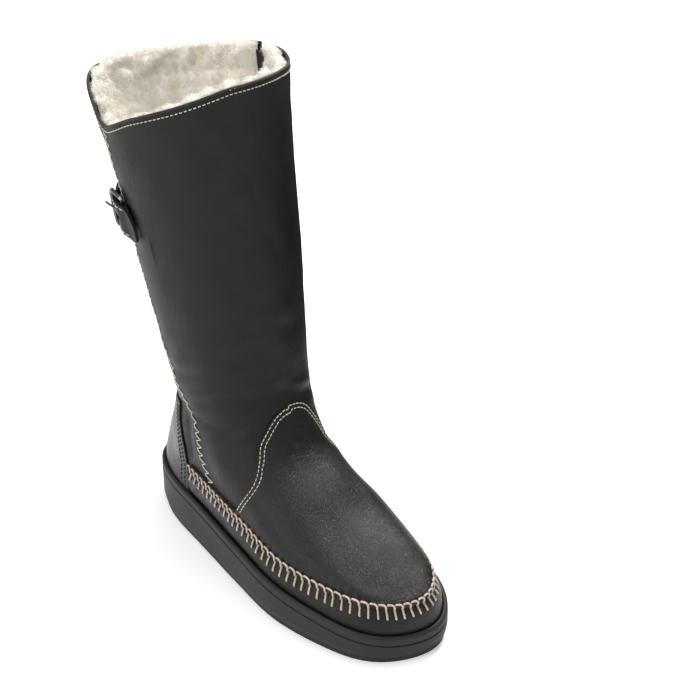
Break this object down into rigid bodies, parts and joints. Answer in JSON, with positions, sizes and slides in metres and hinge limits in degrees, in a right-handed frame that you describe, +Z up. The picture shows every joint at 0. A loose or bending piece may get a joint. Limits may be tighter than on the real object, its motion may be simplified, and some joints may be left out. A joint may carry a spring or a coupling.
{
  "type": "moccasin boot",
  "caption": "Tall black leather moccasin boot with shearling lining, hand-stitched toe seam, inner side zip, rear strap with buckle and rubber cup sole.",
  "frame": {"origin": "centre of the bounding box, on the floor under the sole", "axes": "+Z up, toe towards -Y, heel towards +Y, zip (inner) side +X, buckle (outer) side -X"},
  "size_m": [0.1328, 0.31, 0.3508],
  "materials": {
    "rubber_sole": "matte moulded rubber with a fine grain",
    "eva_foam": "closed-cell foam, hidden",
    "spring_steel": "plain spring steel, hidden",
    "fibre_board": "pressed fibre board, hidden",
    "shearling": "cream sheared wool pile",
    "black_leather": "smooth full-grain leather with a soft waxed sheen",
    "edge_leather": "raw folded leather edge, brownish grey",
    "stiffener_board": "thermoplastic stiffener, hidden",
    "zip_tape": "woven tape",
    "zip_plastic": "moulded teeth",
    "zip_metal": "black coated zinc with bare bright edges",
    "gunmetal": "dark gunmetal plating, rubbed edges",
    "cream_thread": "waxed twisted thread",
    "dark_thread": "bonded thread"
  },
  "bodies": {
    "upper": {"outsole": "rubber_sole", "cupsole": "rubber_sole", "foam_filler": "eva_foam", "shank": "spring_steel", "insole_board": "fibre_board", "footbed": "shearling", "apron": "black_leather", "vamp": "black_leather", "shaft_front": "black_leather", "shaft_back": "black_leather", "heel_counter": "black_leather", "edge_fold": "edge_leather", "heel_stiffener": "stiffener_board", "toe_puff": "stiffener_board", "lining_foot": "shearling", "lining_front": "shearling", "lining_back": "shearling", "zip_tape_front": "zip_tape", "zip_tape_rear": "zip_tape", "zip_teeth_front": "zip_plastic", "zip_teeth_rear": "zip_plastic", "zip_top_stops": "zip_metal", "zip_bottom_stop": "zip_metal", "zip_guard": "black_leather", "strap": "black_leather", "buckle_chape": "black_leather", "whip_stitch": "cream_thread", "vamp_stitch": "cream_thread", "zigzag_stitch": "cream_thread", "edge_stitch": "cream_thread", "zip_stitch": "cream_thread", "strap_stitch": "cream_thread", "counter_stitch": "dark_thread"},
    "slider": {"zip_slider": "zip_metal"},
    "pull": {"zip_pull": "zip_metal"},
    "buckle": {"buckle_frame": "gunmetal"},
    "prong": {"buckle_prong": "gunmetal"}
  },
  "joints": [
    {"name": "zip_slide", "type": "slide", "parent": "upper", "child": "slider", "axis": [-0.0546, -0.2151, -0.9751], "range_m": [0, 0.18]},
    {"name": "pull_swing", "type": "hinge", "parent": "slider", "child": "pull", "pos_m": [0.06506, 0.08818, 0.33491], "axis": [0.0473, -0.976, 0.2127], "range_deg": [0, 100]},
    {"name": "buckle_swing", "type": "hinge", "parent": "upper", "child": "buckle", "pos_m": [-0.05929, 0.08659, 0.25263], "axis": [-0.2132, -0.1987, 0.9566], "range_deg": [0, 20]},
    {"name": "prong_swing", "type": "hinge", "parent": "buckle", "child": "prong", "pos_m": [-0.05929, 0.08659, 0.25263], "axis": [-0.2132, -0.1987, 0.9566], "range_deg": [0, 25]}
  ]
}
